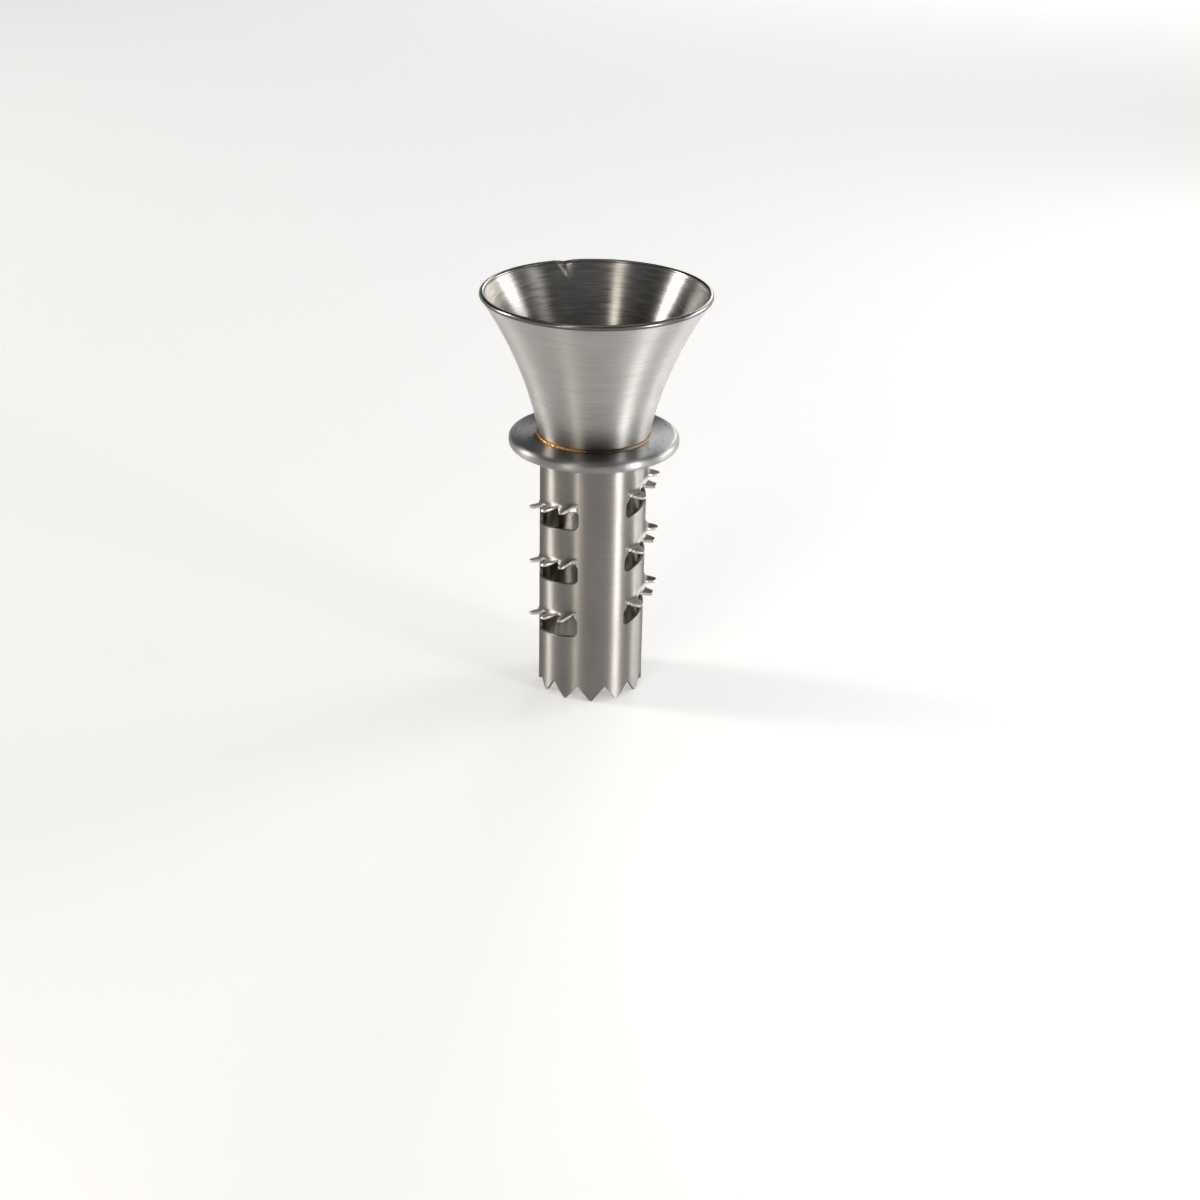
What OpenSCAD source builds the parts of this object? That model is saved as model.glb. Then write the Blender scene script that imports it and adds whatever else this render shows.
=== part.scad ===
// Citrus juice spout: a funnel, a stop collar and a toothed tube in stainless steel, joined by one weld.
// The tube is pushed in as far as the collar. Juice enters by its windows and leaves over the pouring lip.
// Millimetres, +Z up. The origin is on the axis, in the underside of the collar, which is the stop.
// The pouring lip points along +Y.

/* [Tube] */
// Outside diameter of the tube
tube_d = 20; // [16:0.5:24]
// Wall thickness of the tube
tube_wall = 0.6; // [0.5:0.05:0.9]
// Length of the tube below the collar, down to the points of its crown
tube_length = 49; // [46:0.5:64]

/* [Crown] */
// Number of points round the open end of the tube
crown_points = 12; // [8:1:18]
// Depth of the notches between the points
crown_depth = 3; // [1.5:0.25:4]
// Width of the flat left on each point
crown_flat = 0.5; // [0.2:0.1:1]

/* [Windows] */
// Rise of the helix of windows in one turn
helix_pitch = 11; // [9.5:0.25:12.5]
// Number of windows in one turn of the helix
windows_per_turn = 3; // [2:1:3]
// Number of turns of windows
window_turns = 3; // [1:1:3]
// Rise of a window's head in one turn, which is steeper than the helix
head_pitch = 16.5; // [11:0.25:18]
// Drop from the underside of the collar to where the first window's head starts to bend, at its middle
first_head = 5.15; // [3.5:0.05:7]
// Height of a window from its sill to where its head starts to bend, at its middle
window_height = 5.65; // [5:0.05:6.2]
// Drop from the start of the bend to the top of a window's two upright ends
end_drop = 1.5; // [1.4:0.05:2]
// Distance from the last gullet to the upright end of a window
end_gap = 0.5; // [0.4:0.05:0.8]
// Radius of the rounded corners at the ends of a window
corner_radius = 0.4; // [0.2:0.05:0.4]

/* [Teeth] */
// Number of teeth along the head of a window
teeth_per_window = 3; // [2:1:4]
// Angle round the tube from one tooth to the next
tooth_step = 20.5; // [19:0.5:26]
// Reach of a tooth's point past the outside of the tube
tooth_reach = 2.5; // [2:0.1:3.6]
// Radius of the round end of a tooth
tooth_end = 0.7; // [0.4:0.05:0.8]
// Inside radius of the bend that turns the teeth out of the wall
tooth_bend = 0.9; // [0.7:0.05:1.2]
// Angle by which a tooth droops below square to the wall
tooth_droop = 3; // [0:1:15]
// Radius of the round gullets between the teeth
gullet_radius = 0.5; // [0.4:0.05:0.7]
// How far the gullets stand out of the tube
gullet_out = 0.1; // [0.05:0.05:0.3]

/* [Collar] */
// Diameter of the collar
collar_d = 31.7; // [27:0.1:40]
// Thickness of the collar
collar_t = 2.2; // [1.9:0.1:3]
// Radius of the rounding along the collar's edge
collar_round = 0.9; // [0.3:0.05:0.95]
// Clearance all round between the tube and the collar's bore
fit_gap = 0.05; // [0.02:0.01:0.15]

/* [Funnel] */
// Diameter of the mouth over its rim
mouth_d = 42.2; // [36:0.2:52]
// Height from the top of the collar to the middle of the rounded rim
funnel_height = 26.6; // [20:0.1:36]
// How far the wall bows in towards the axis from a straight cone
flare_bow = 1.4; // [0.6:0.1:2.6]
// Thickness of the funnel's sheet
sheet = 0.8; // [0.6:0.05:1]
// Thickness of the rounded rim
rim_d = 1; // [0.9:0.05:1.6]
// How far the middle of the sheet stands inside the outside of the tube, at the funnel's foot
foot_inset = 0.15; // [0.05:0.05:0.25]

/* [Pouring lip] */
// Width of the lip at the rim
lip_width = 4.2; // [3:0.1:6]
// Length of the lip down the wall
lip_length = 4.2; // [2.4:0.1:6]
// How far the lip stands out from the wall at the rim
lip_depth = 0.8; // [0.5:0.05:1.4]

/* [Weld] */
// Length of the weld's legs, up the funnel and out along the collar
weld_leg = 0.45; // [0.3:0.05:0.9]

/* [Hidden] */
$fn = 120;

// Smoothness of the large arcs of the funnel's wall
wall_fn = 720;
// Steps along one rounded corner of a window
corner_steps = 6;
// How far cutting shapes run past the faces that they cut
overcut = 1;

tube_r = tube_d / 2;
bore_r = tube_r - tube_wall;
collar_r = collar_d / 2;
collar_bore_r = tube_r + fit_gap;

// Windows follow a right-handed helix. The first one lies a third of a turn before the lip.
first_azimuth = -35;
window_count = windows_per_turn * window_turns;
window_turn = 360 / windows_per_turn;
helix_lead = atan2(helix_pitch, PI * tube_d);
head_lead = atan2(head_pitch, PI * tube_d);
window_end = teeth_per_window * tooth_step / 2;

// A tooth's faces start this far inside the wall's faces, every second tooth twice as far, and its root runs
// this far up into the wall. Teeth lap over their neighbours by this angle, in the bend above the gullets.
tooth_inset = 0.02;
tooth_root = 0.15;
tooth_lap = 1;

// The middle of the funnel's sheet is one arc from the foot to the centre of the rim
foot = [tube_r - foot_inset, collar_t];
rim = [(mouth_d - rim_d) / 2, collar_t + funnel_height];
chord = rim - foot;
chord_lean = atan2(chord.x, chord.y);
flare_r = (norm(chord) ^ 2 / 4 + flare_bow ^ 2) / (2 * flare_bow);
flare_centre = (foot + rim) / 2 + (flare_r - flare_bow) * [cos(chord_lean), -sin(chord_lean)];
rim_lean = atan2(rim.y - flare_centre.y, flare_centre.x - rim.x);
// The rim along the lip is this much thinner all round, so that its ends lie inside the round rim
rim_inset = 0.02;
// Where the funnel's outside meets the top of the collar
foot_drop = foot.y - flare_centre.y;
foot_out_r = flare_centre.x - sqrt((flare_r - sheet / 2) ^ 2 - foot_drop ^ 2);

function arc_points(centre, r, from, to) =
    [for (i = [0:corner_steps])
        let (a = from + (to - from) * i / corner_steps)
        centre + r * [cos(a), sin(a)]];

// Puts its children at window i, with X pointing out of the tube and the start of the head's bend at height 0
module at_window(i) {
    rotate([0, 0, first_azimuth - i * window_turn])
    translate([0, 0, -first_head - i * helix_pitch / windows_per_turn])
    children();
}

// Puts its children at an angle along the head from the middle of a window
module along_head(angle) {
    rotate([0, 0, angle])
    translate([0, 0, head_pitch * angle / 360])
    children();
}

// Pushes a flat shape, drawn with Y up, from the tube's axis out through its wall along X
module through_wall() {
    rotate([90, 0, 90])
    linear_extrude(tube_r + overcut)
    children();
}

// The opening between a window's two ends: the sill climbs with the helix, and the head climbs faster
module window_span() {
    half = (tube_r + bore_r) / 2 * sin(window_end);
    sill = half * tan(helix_lead);
    head = half * tan(head_lead);
    polygon([[-half, -window_height - sill], [half, -window_height + sill], [half, head], [-half, -head]]);
}

// One upright end of a window, with rounded corners above and below; side is -1 or 1
module window_side(side) {
    lead = side * helix_lead;
    height = window_height + side * (head_pitch - helix_pitch) * window_end / 360;
    corner = end_gap - corner_radius;
    corner_rise = corner * tan(lead) + corner_radius / cos(lead) - height;
    inner_rise = corner_radius * tan(lead);
    mirror([1 - side, 0])
    polygon(concat(
        [[-corner_radius, -end_drop], [-corner_radius, -height - inner_rise]],
        arc_points([corner, corner_rise], corner_radius, 270 + lead, 360),
        arc_points([corner, -end_drop - corner_radius], corner_radius, 0, 90)
    ));
}

// All that is cut out of the wall for one window
module window() {
    through_wall() window_span();
    for (side = [-1, 1]) along_head(side * window_end) through_wall() window_side(side);
}

// The section of a tooth, with X from the tube's axis: the root in the wall, the bend and the tongue
module tooth_section(inset) {
    turn = 90 - tooth_droop;
    thick = tube_wall - 2 * inset;
    inner = tooth_bend + inset;
    corner = (inner + thick) * sqrt(2);
    translate([bore_r + inset, 0]) square([thick, tooth_root]);
    translate([tube_r + tooth_bend, 0]) {
        intersection() {
            difference() {
                circle(inner + thick);
                circle(inner);
            }
            polygon([[0, 0], [-corner, 0], [-corner, -corner], corner * [-cos(turn), -sin(turn)]]);
        }
        rotate(180 + turn) translate([inner, 0]) square([thick, tooth_reach]);
    }
}

// The plan of a tooth: half a round gullet on each side, and straight flanks that run into the round end
module tooth_plan() {
    gullet_r = tube_r + gullet_out + gullet_radius;
    gullet_at = gullet_r * [cos(tooth_step / 2), sin(tooth_step / 2)];
    end_at = [tube_r + tooth_reach - tooth_end, 0];
    run = gullet_at - end_at;
    lean = atan2(run.y, run.x) - acos((gullet_radius + tooth_end) / norm(run));
    square_out = [cos(lean), sin(lean)];
    side = tooth_step / 2 + 2 * tooth_lap;
    half = [
        [0, 0],
        gullet_r * [cos(side), sin(side)],
        gullet_at - gullet_radius * square_out,
        end_at + tooth_end * square_out,
        end_at
    ];
    difference() {
        union() {
            for (flip = [0, 1]) mirror([0, flip]) polygon(half);
            translate(end_at) circle(tooth_end);
        }
        for (y = [-1, 1]) translate([gullet_at.x, y * gullet_at.y]) circle(gullet_radius);
    }
}

// One tooth: the bent section, carried round the tube, leaning with the head and trimmed to its plan
module tooth(inset) {
    span = tooth_step + 2 * tooth_lap;
    tall = 2 * (tube_wall + tooth_bend + tooth_reach);
    rotate([head_lead, 0, 0]) intersection() {
        rotate([0, 0, -span / 2]) rotate_extrude(angle = span) tooth_section(inset);
        linear_extrude(tall, center = true) tooth_plan();
    }
}

// The notch between two points of the crown
module crown_notch() {
    half = (PI * tube_d / crown_points - crown_flat) / 2;
    flank = half / crown_depth;
    polygon([[0, crown_depth], [half + overcut * flank, -overcut], [-half - overcut * flank, -overcut]]);
}

module toothed_tube() color("silver") {
    difference() {
        translate([0, 0, -tube_length]) cylinder(h = tube_length + collar_t, r = tube_r);
        translate([0, 0, -tube_length - overcut])
        cylinder(h = tube_length + collar_t + 2 * overcut, r = bore_r);
        for (i = [0:window_count - 1]) at_window(i) window();
        for (i = [0:crown_points - 1])
            rotate([0, 0, i * 360 / crown_points])
            translate([0, 0, -tube_length])
            through_wall() crown_notch();
    }
    for (i = [0:window_count - 1]) at_window(i)
        for (j = [0:teeth_per_window - 1])
            along_head((j - (teeth_per_window - 1) / 2) * tooth_step) tooth(tooth_inset * (1 + j % 2));
}

// A flat ring whose outer edge is rounded above and below
module stop_collar() color("gray") rotate_extrude() {
    shoulder = collar_r - collar_round;
    translate([collar_bore_r, 0]) square([shoulder - collar_bore_r, collar_t]);
    translate([collar_bore_r, collar_round])
    square([collar_r - collar_bore_r, collar_t - 2 * collar_round]);
    for (z = [collar_round, collar_t - collar_round]) translate([shoulder, z]) circle(collar_round);
}

// The disc bounded by the funnel's wall, at a distance inward from the middle of the sheet
module flare_disc(inward) {
    translate(flare_centre) circle(flare_r + inward, $fn = wall_fn);
}

// The funnel's sheet in section, from the foot to the rounded rim
module funnel_section() {
    beyond = rim + (rim - flare_centre) * rim_d / flare_r;
    foot_run = (rim.x - flare_centre.x) * foot_drop / (rim.y - flare_centre.y);
    intersection() {
        difference() {
            flare_disc(sheet / 2);
            flare_disc(-sheet / 2);
        }
        polygon([[0, foot.y], [flare_centre.x + foot_run, foot.y], beyond, [0, beyond.y]]);
    }
    translate(rim) circle(rim_d / 2);
}

// Everything inside the middle of the funnel's sheet, up to past the rim
module funnel_inside() {
    rotate_extrude() difference() {
        translate([0, foot.y]) square([rim.x, funnel_height + rim_d]);
        flare_disc(0);
    }
}

// Puts its children at the middle of the rim on the lip's side, with Y up the wall and Z out of it
module at_lip() {
    translate([0, rim.x, rim.y]) rotate([90 + rim_lean, 0, 180]) children();
}

// A V-shaped groove that leaves the wall at the lip's lower end and deepens to the rim.
// A skin of zero is the groove itself, and a larger one is the groove with that much sheet round it.
module lip_groove(skin) {
    tilt = atan2(lip_depth, lip_length);
    flank = atan2(lip_width / 2, lip_depth * cos(tilt));
    inward = lip_depth + 2 * sheet;
    at_lip()
    translate([0, -lip_length, -sheet / 2])
    rotate([tilt, 0, 0])
    translate([0, -lip_length / 2, skin / sin(flank)])
    rotate([-90, 0, 0])
    linear_extrude(2 * lip_length)
    polygon([[0, 0], [inward * tan(flank), inward], [-inward * tan(flank), inward]]);
}

// The lip's own sheet, up to the middle of the rim
module lip_sheet() {
    reach = 3 * lip_length;
    difference() {
        intersection() {
            lip_groove(sheet);
            at_lip() translate([-reach / 2, -reach, -reach / 2]) cube(reach);
        }
        funnel_inside();
    }
}

// A round rod from p to q
module rod(p, q, d) {
    run = q - p;
    translate(p)
    rotate([0, acos(run.z / norm(run)), atan2(run.y, run.x)])
    cylinder(h = norm(run), d = d);
}

// The rounded rim, carried out along the lip's two edges to its point
module lip_rim() {
    turn = asin((lip_width + sheet) / 2 / rim.x);
    flank = atan2(lip_width / 2, lip_depth);
    reach = lip_depth + sheet / 2 * (1 / sin(flank) - 1);
    point = [0, rim.x + reach * cos(rim_lean), rim.y - reach * sin(rim_lean)];
    for (side = [-1, 1])
        rod([side * rim.x * sin(turn), rim.x * cos(turn), rim.y], point, rim_d - 2 * rim_inset);
    translate(point) sphere(d = rim_d);
}

module funnel() color("lightgray") {
    difference() {
        union() {
            rotate_extrude() funnel_section();
            lip_sheet();
        }
        lip_groove(0);
    }
    lip_rim();
}

// A bead that fills the corner between the funnel's foot and the collar
module funnel_weld() color("peru") rotate_extrude() intersection() {
    translate([foot_out_r, collar_t]) circle(weld_leg);
    flare_disc(-sheet / 2);
    translate([0, collar_t]) square([collar_r, funnel_height]);
}

toothed_tube();
stop_collar();
funnel();
funnel_weld();
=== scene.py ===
import math

import bpy
from mathutils import Matrix, Vector


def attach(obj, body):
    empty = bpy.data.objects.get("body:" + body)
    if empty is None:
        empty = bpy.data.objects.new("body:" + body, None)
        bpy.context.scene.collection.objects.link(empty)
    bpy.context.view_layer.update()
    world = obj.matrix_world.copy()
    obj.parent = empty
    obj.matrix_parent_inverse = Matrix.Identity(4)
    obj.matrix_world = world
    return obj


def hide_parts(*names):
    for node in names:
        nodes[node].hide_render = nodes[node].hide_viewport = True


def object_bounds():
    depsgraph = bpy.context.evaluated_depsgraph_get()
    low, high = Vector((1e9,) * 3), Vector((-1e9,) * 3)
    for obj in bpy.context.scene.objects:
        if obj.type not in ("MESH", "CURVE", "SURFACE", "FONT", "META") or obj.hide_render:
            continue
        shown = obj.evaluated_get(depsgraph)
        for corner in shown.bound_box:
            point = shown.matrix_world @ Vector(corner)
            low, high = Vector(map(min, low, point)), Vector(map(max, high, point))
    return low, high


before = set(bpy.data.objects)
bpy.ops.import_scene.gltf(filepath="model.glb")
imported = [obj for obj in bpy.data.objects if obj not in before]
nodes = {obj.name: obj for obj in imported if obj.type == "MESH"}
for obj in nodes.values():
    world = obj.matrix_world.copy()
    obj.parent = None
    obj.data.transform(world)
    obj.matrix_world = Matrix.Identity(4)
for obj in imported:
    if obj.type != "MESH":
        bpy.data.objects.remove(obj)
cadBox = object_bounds()
scene = bpy.context.scene
mm = 0.001
print("frame loaded:", ", ".join(sorted(nodes)))

# node tree helpers; a spot is a column and a row in the node editor
nodeGap = (190, 170)


def addNode(tree, kind, spot, **values):
    node = tree.nodes.new(kind)
    node.location = (spot[0] * nodeGap[0], -spot[1] * nodeGap[1])
    for key, value in values.items():
        setattr(node, key, value)
    return node


def plug(tree, source, target):
    tree.links.new(source, target)


# a socket takes a number, a colour or a link
def feed(tree, socket, value):
    if isinstance(value, (int, float)):
        socket.default_value = value
    elif isinstance(value, tuple):
        socket.default_value = (*value, 1.0)
    else:
        plug(tree, value, socket)


def calc(tree, operation, spot, first, second=None, third=None, clamp=False):
    node = addNode(tree, "ShaderNodeMath", spot, operation=operation, use_clamp=clamp)
    for socket, value in zip(node.inputs, (first, second, third)):
        if value is not None:
            feed(tree, socket, value)
    return node.outputs[0]


# what lies between low and high is carried over to between toLow and toHigh
def spread(tree, spot, value, low, high, toLow=0.0, toHigh=1.0, smooth=False):
    node = addNode(tree, "ShaderNodeMapRange", spot, clamp=True)
    if smooth:
        node.interpolation_type = "SMOOTHSTEP"
    limits = {"Value": value, "From Min": low, "From Max": high, "To Min": toLow, "To Max": toHigh}
    for name, limit in limits.items():
        feed(tree, node.inputs[name], limit)
    return node.outputs["Result"]


def blendColour(tree, spot, factor, first, second):
    node = addNode(tree, "ShaderNodeMix", spot, data_type="RGBA", clamp_factor=True)
    for index, value in ((0, factor), (6, first), (7, second)):  # 6 and 7 are the two colour sockets
        feed(tree, node.inputs[index], value)
    return node.outputs[2]


def addNoise(tree, spot, vector, **values):
    node = addNode(tree, "ShaderNodeTexNoise", spot)
    plug(tree, vector, node.inputs["Vector"])
    for name, value in values.items():
        feed(tree, node.inputs[name], value)
    return node.outputs["Fac"]


# a place moved by a seed, so that no two pieces have the same patches
def seededPlace(tree, spot, place, seed):
    shift = addNode(tree, "ShaderNodeVectorMath", spot, operation="ADD")
    plug(tree, place, shift.inputs[0])
    plug(tree, seed, shift.inputs[1])
    return shift.outputs[0]


# a node group with named numbers going in, and named colours, values or normals coming out
def startGroup(name, inputs, outputs):
    group = bpy.data.node_groups.new(name, "ShaderNodeTree")
    for label, default in inputs.items():
        socket = group.interface.new_socket(name=label, in_out="INPUT", socket_type="NodeSocketFloat")
        socket.default_value = default
    for label, kind in outputs.items():
        group.interface.new_socket(name=label, in_out="OUTPUT", socket_type="NodeSocket" + kind)
    given = addNode(group, "NodeGroupInput", (0, 0)).outputs
    result = addNode(group, "NodeGroupOutput", (14, 0)).inputs
    return group, given, result


def useGroup(tree, group, spot, values):
    node = addNode(tree, "ShaderNodeGroup", spot, node_tree=group)
    for key, value in values.items():
        node.inputs[key].default_value = value
    return node.outputs


# polar place of a point about the spout's axis, in metres: radius, height and the unit circle
def polarPlace(tree, spot):
    x, y = spot
    coords = addNode(tree, "ShaderNodeTexCoord", (x, y))
    split = addNode(tree, "ShaderNodeSeparateXYZ", (x + 1, y))
    plug(tree, coords.outputs["Object"], split.inputs[0])
    px, py, pz = split.outputs
    squareX = calc(tree, "MULTIPLY", (x + 2, y), px, px)
    squareY = calc(tree, "MULTIPLY", (x + 2, y + 1), py, py)
    away = calc(tree, "SQRT", (x + 4, y), calc(tree, "ADD", (x + 3, y), squareX, squareY))
    radius = calc(tree, "MAXIMUM", (x + 5, y), away, 0.01 * mm)  # kept off zero, because it divides
    return {
        "object": coords.outputs["Object"],
        "x": px,
        "y": py,
        "z": pz,
        "radius": radius,
        "east": calc(tree, "DIVIDE", (x + 6, y), px, radius),
        "north": calc(tree, "DIVIDE", (x + 6, y + 1), py, radius),
    }


# lines left by a lathe or a belt: slow along the turn, quick across it
brushLook = {
    "swayScale": 160.0, "swayDetail": 1.0, "detail": 2.0, "roughness": 0.6, "low": 0.36, "high": 0.64,
    "layers": ((1.0, 1.0, 0.55), (0.37, 0.7, 0.3), (2.7, 1.6, 0.15)),  # pace, length and weight of each
}


def makeBrushGroup(look):
    group, given, result = startGroup(
        "turnedBrush",
        {"Lines Per Metre": 9000.0, "Line Length": 6.0, "Wander": 0.3, "Seed": 0.0},
        {"Lines": "Float", "Height": "Float"},
    )
    place = polarPlace(group, (0, 2))
    along = calc(group, "ADD", (7, 2), place["z"], place["radius"])
    sway = addNoise(group, (3, 5), place["object"], Scale=look["swayScale"], Detail=look["swayDetail"])
    wander = calc(group, "MULTIPLY", (7, 4), sway, given["Wander"])
    swayed = calc(group, "MULTIPLY_ADD", (8, 2), wander, mm, along)
    layers = []
    for index, (pace, length, weight) in enumerate(look["layers"]):
        row = 1 + 2 * index
        reach = calc(group, "MULTIPLY", (8, 4 + index), given["Line Length"], length)
        rate = calc(group, "MULTIPLY", (8, 7 + index), given["Lines Per Metre"], pace)
        parts = (
            calc(group, "MULTIPLY_ADD", (9, row), place["east"], reach, given["Seed"]),
            calc(group, "MULTIPLY", (9, row + 1), place["north"], reach),
            calc(group, "MULTIPLY", (9, 8 + index), swayed, rate),
        )
        joined = addNode(group, "ShaderNodeCombineXYZ", (10, row))
        for socket, part in zip(joined.inputs, parts):
            plug(group, part, socket)
        noise = addNoise(
            group, (11, row), joined.outputs[0],
            Scale=1.0, Detail=look["detail"], Roughness=look["roughness"],
        )
        layers.append(calc(group, "MULTIPLY", (12, row), noise, weight))
    total = calc(group, "ADD", (13, 2), calc(group, "ADD", (13, 1), layers[0], layers[1]), layers[2])
    plug(group, total, result["Height"])
    plug(group, spread(group, (13, 4), total, look["low"], look["high"]), result["Lines"])
    return group


# where an edge is rounded by handling: 1 on the edge, 0 on the faces beside it
def makeEdgeGroup():
    group, given, result = startGroup(
        "softEdge",
        {"Radius": 0.15 * mm, "Gain": 4.0},
        {"Edge": "Float", "Normal": "Vector"},
    )
    bevel = addNode(group, "ShaderNodeBevel", (2, 0), samples=6)
    plug(group, given["Radius"], bevel.inputs["Radius"])
    shape = addNode(group, "ShaderNodeNewGeometry", (2, 2))
    product = addNode(group, "ShaderNodeVectorMath", (4, 1), operation="DOT_PRODUCT")
    plug(group, bevel.outputs[0], product.inputs[0])
    plug(group, shape.outputs["Normal"], product.inputs[1])
    turned = calc(group, "SUBTRACT", (5, 1), 1.0, product.outputs["Value"])
    plug(group, calc(group, "MULTIPLY", (6, 1), turned, given["Gain"], clamp=True), result["Edge"])
    plug(group, bevel.outputs[0], result["Normal"])
    return group


# faint film from handling and drying: broad, cloudy patches and fine specks
filmLook = {
    "cloudDetail": 4.0, "cloudTwist": 0.8, "cloudLow": 0.4, "cloudHigh": 0.68,
    "speckFiner": 34.0, "speckDetail": 3.0, "speckLow": 0.6, "speckHigh": 0.74,
}


def makeFilmGroup(look):
    group, given, result = startGroup(
        "handledFilm",
        {"Scale": 120.0, "Seed": 0.0},
        {"Film": "Float", "Specks": "Float"},
    )
    coords = addNode(group, "ShaderNodeTexCoord", (0, 2))
    place = seededPlace(group, (2, 2), coords.outputs["Object"], given["Seed"])
    cloud = addNoise(
        group, (4, 1), place,
        Scale=given["Scale"], Detail=look["cloudDetail"], Distortion=look["cloudTwist"],
    )
    film = spread(group, (6, 1), cloud, look["cloudLow"], look["cloudHigh"], smooth=True)
    plug(group, film, result["Film"])
    finer = calc(group, "MULTIPLY", (3, 4), given["Scale"], look["speckFiner"])
    speck = addNoise(group, (4, 3), place, Scale=finer, Detail=look["speckDetail"])
    plug(group, spread(group, (6, 3), speck, look["speckLow"], look["speckHigh"]), result["Specks"])
    return group


# oxide of the weld round the foot: share of a turn, colour there, how far it spreads and how strong the
# painted shade beside the weld is
heatRound = (
    (0.0, (0.33, 0.2, 0.09), 0.8, 0.1),
    (0.1, (0.46, 0.3, 0.14), 1.0, 0.2),
    (0.165, (0.4, 0.26, 0.13), 0.6, 0.7),
    (0.188, (0.06, 0.04, 0.025), 0.3, 1.0),
    (0.27, (0.07, 0.05, 0.032), 0.25, 0.9),
    (0.31, (0.28, 0.21, 0.14), 0.2, 0.4),
    (0.42, (0.36, 0.26, 0.15), 0.35, 0.1),
    (0.6, (0.18, 0.12, 0.07), 0.4, 0.4),
    (0.8, (0.4, 0.28, 0.14), 0.6, 0.2),
    (0.93, (0.22, 0.13, 0.06), 0.8, 0.3),
    (1.0, (0.33, 0.2, 0.09), 0.8, 0.1),
)
heatLook = {
    "patchScale": 900.0, "patchDetail": 5.0, "patchLow": 0.36, "patchHigh": 0.64,
    "jitter": 0.03, "shortest": 0.45, "longest": 1.25, "fadeStart": 0.3,
}


def fillRamp(ramp, stops):
    elements = ramp.color_ramp.elements
    while len(elements) < len(stops):
        elements.new(0.5)
    for element, (spot, colour) in zip(elements, stops):
        element.position = spot
        element.color = (*colour, 1.0)


# straw to black oxide beside the weld, strong at the weld and gone a little way off, and a wider band of
# painted shade by the weld
def makeHeatGroup(look):
    group, given, result = startGroup(
        "heatTint",
        {"Height": 2.2 * mm, "Radius": 10.3 * mm, "Reach": 1.2 * mm, "Weld Shade Reach": 4.0 * mm, "Seed": 0.0},
        {"Tint": "Color", "Amount": "Float", "Weld Shade": "Float"},
    )
    place = polarPlace(group, (0, 2))
    up = calc(group, "SUBTRACT", (7, 2), place["z"], given["Height"])
    out = calc(group, "SUBTRACT", (7, 3), place["radius"], given["Radius"])
    square = calc(group, "MULTIPLY_ADD", (8, 2), up, up, calc(group, "MULTIPLY", (8, 4), out, out))
    away = calc(group, "SQRT", (9, 2), square)
    seeded = seededPlace(group, (7, 6), place["object"], given["Seed"])
    patch = addNoise(group, (8, 6), seeded, Scale=look["patchScale"], Detail=look["patchDetail"])

    angle = calc(group, "ARCTAN2", (7, 8), place["y"], place["x"])
    turn = calc(group, "MULTIPLY_ADD", (8, 8), angle, 0.5 / math.pi, 0.5)  # 0 to 1 in a turn, from -X
    wobble = calc(group, "SUBTRACT", (8, 9), patch, 0.5)
    turn = calc(group, "MULTIPLY_ADD", (9, 8), wobble, look["jitter"], turn)
    colours = addNode(group, "ShaderNodeValToRGB", (10, 7))
    fillRamp(colours, [(spot, colour) for spot, colour, wide, shadeAmount in heatRound])
    spreads = addNode(group, "ShaderNodeValToRGB", (10, 9))
    fillRamp(spreads, [(spot, (wide, shadeAmount, 0.0)) for spot, colour, wide, shadeAmount in heatRound])
    for ramp in (colours, spreads):
        plug(group, turn, ramp.inputs[0])
    split = addNode(group, "ShaderNodeSeparateColor", (11, 9))
    plug(group, spreads.outputs["Color"], split.inputs[0])

    low, high = look["patchLow"], look["patchHigh"]
    uneven = spread(group, (9, 6), patch, low, high, look["shortest"], look["longest"])
    reach = calc(group, "MULTIPLY", (10, 5), given["Reach"], uneven)
    reach = calc(group, "MULTIPLY", (11, 8), reach, split.outputs[0])
    near = calc(group, "DIVIDE", (12, 3), away, reach)
    # painted shade, fading out with distance from the weld
    shadeFade = spread(group, (13, 6), away, 0.0, given["Weld Shade Reach"], 1.0, 0.0, smooth=True)
    plug(group, colours.outputs["Color"], result["Tint"])
    plug(group, spread(group, (13, 4), near, look["fadeStart"], 1.0, 1.0, 0.0, smooth=True), result["Amount"])
    plug(group, calc(group, "MULTIPLY", (13, 7), shadeFade, split.outputs[1]), result["Weld Shade"])
    return group


brushGroup = makeBrushGroup(brushLook)
edgeGroup = makeEdgeGroup()
filmGroup = makeFilmGroup(filmLook)
heatGroup = makeHeatGroup(heatLook)
print("shared finishes made:", len(bpy.data.node_groups))


# an empty metal material: its tree and its shader
def startMetal(name):
    material = bpy.data.materials.new(name)
    material.use_nodes = True
    tree = material.node_tree
    tree.nodes.clear()
    output = addNode(tree, "ShaderNodeOutputMaterial", (16, 0))
    shader = addNode(tree, "ShaderNodeBsdfPrincipled", (14, 0))
    plug(tree, shader.outputs[0], output.inputs["Surface"])
    shader.inputs["Metallic"].default_value = 1.0
    return material, tree, shader
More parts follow.
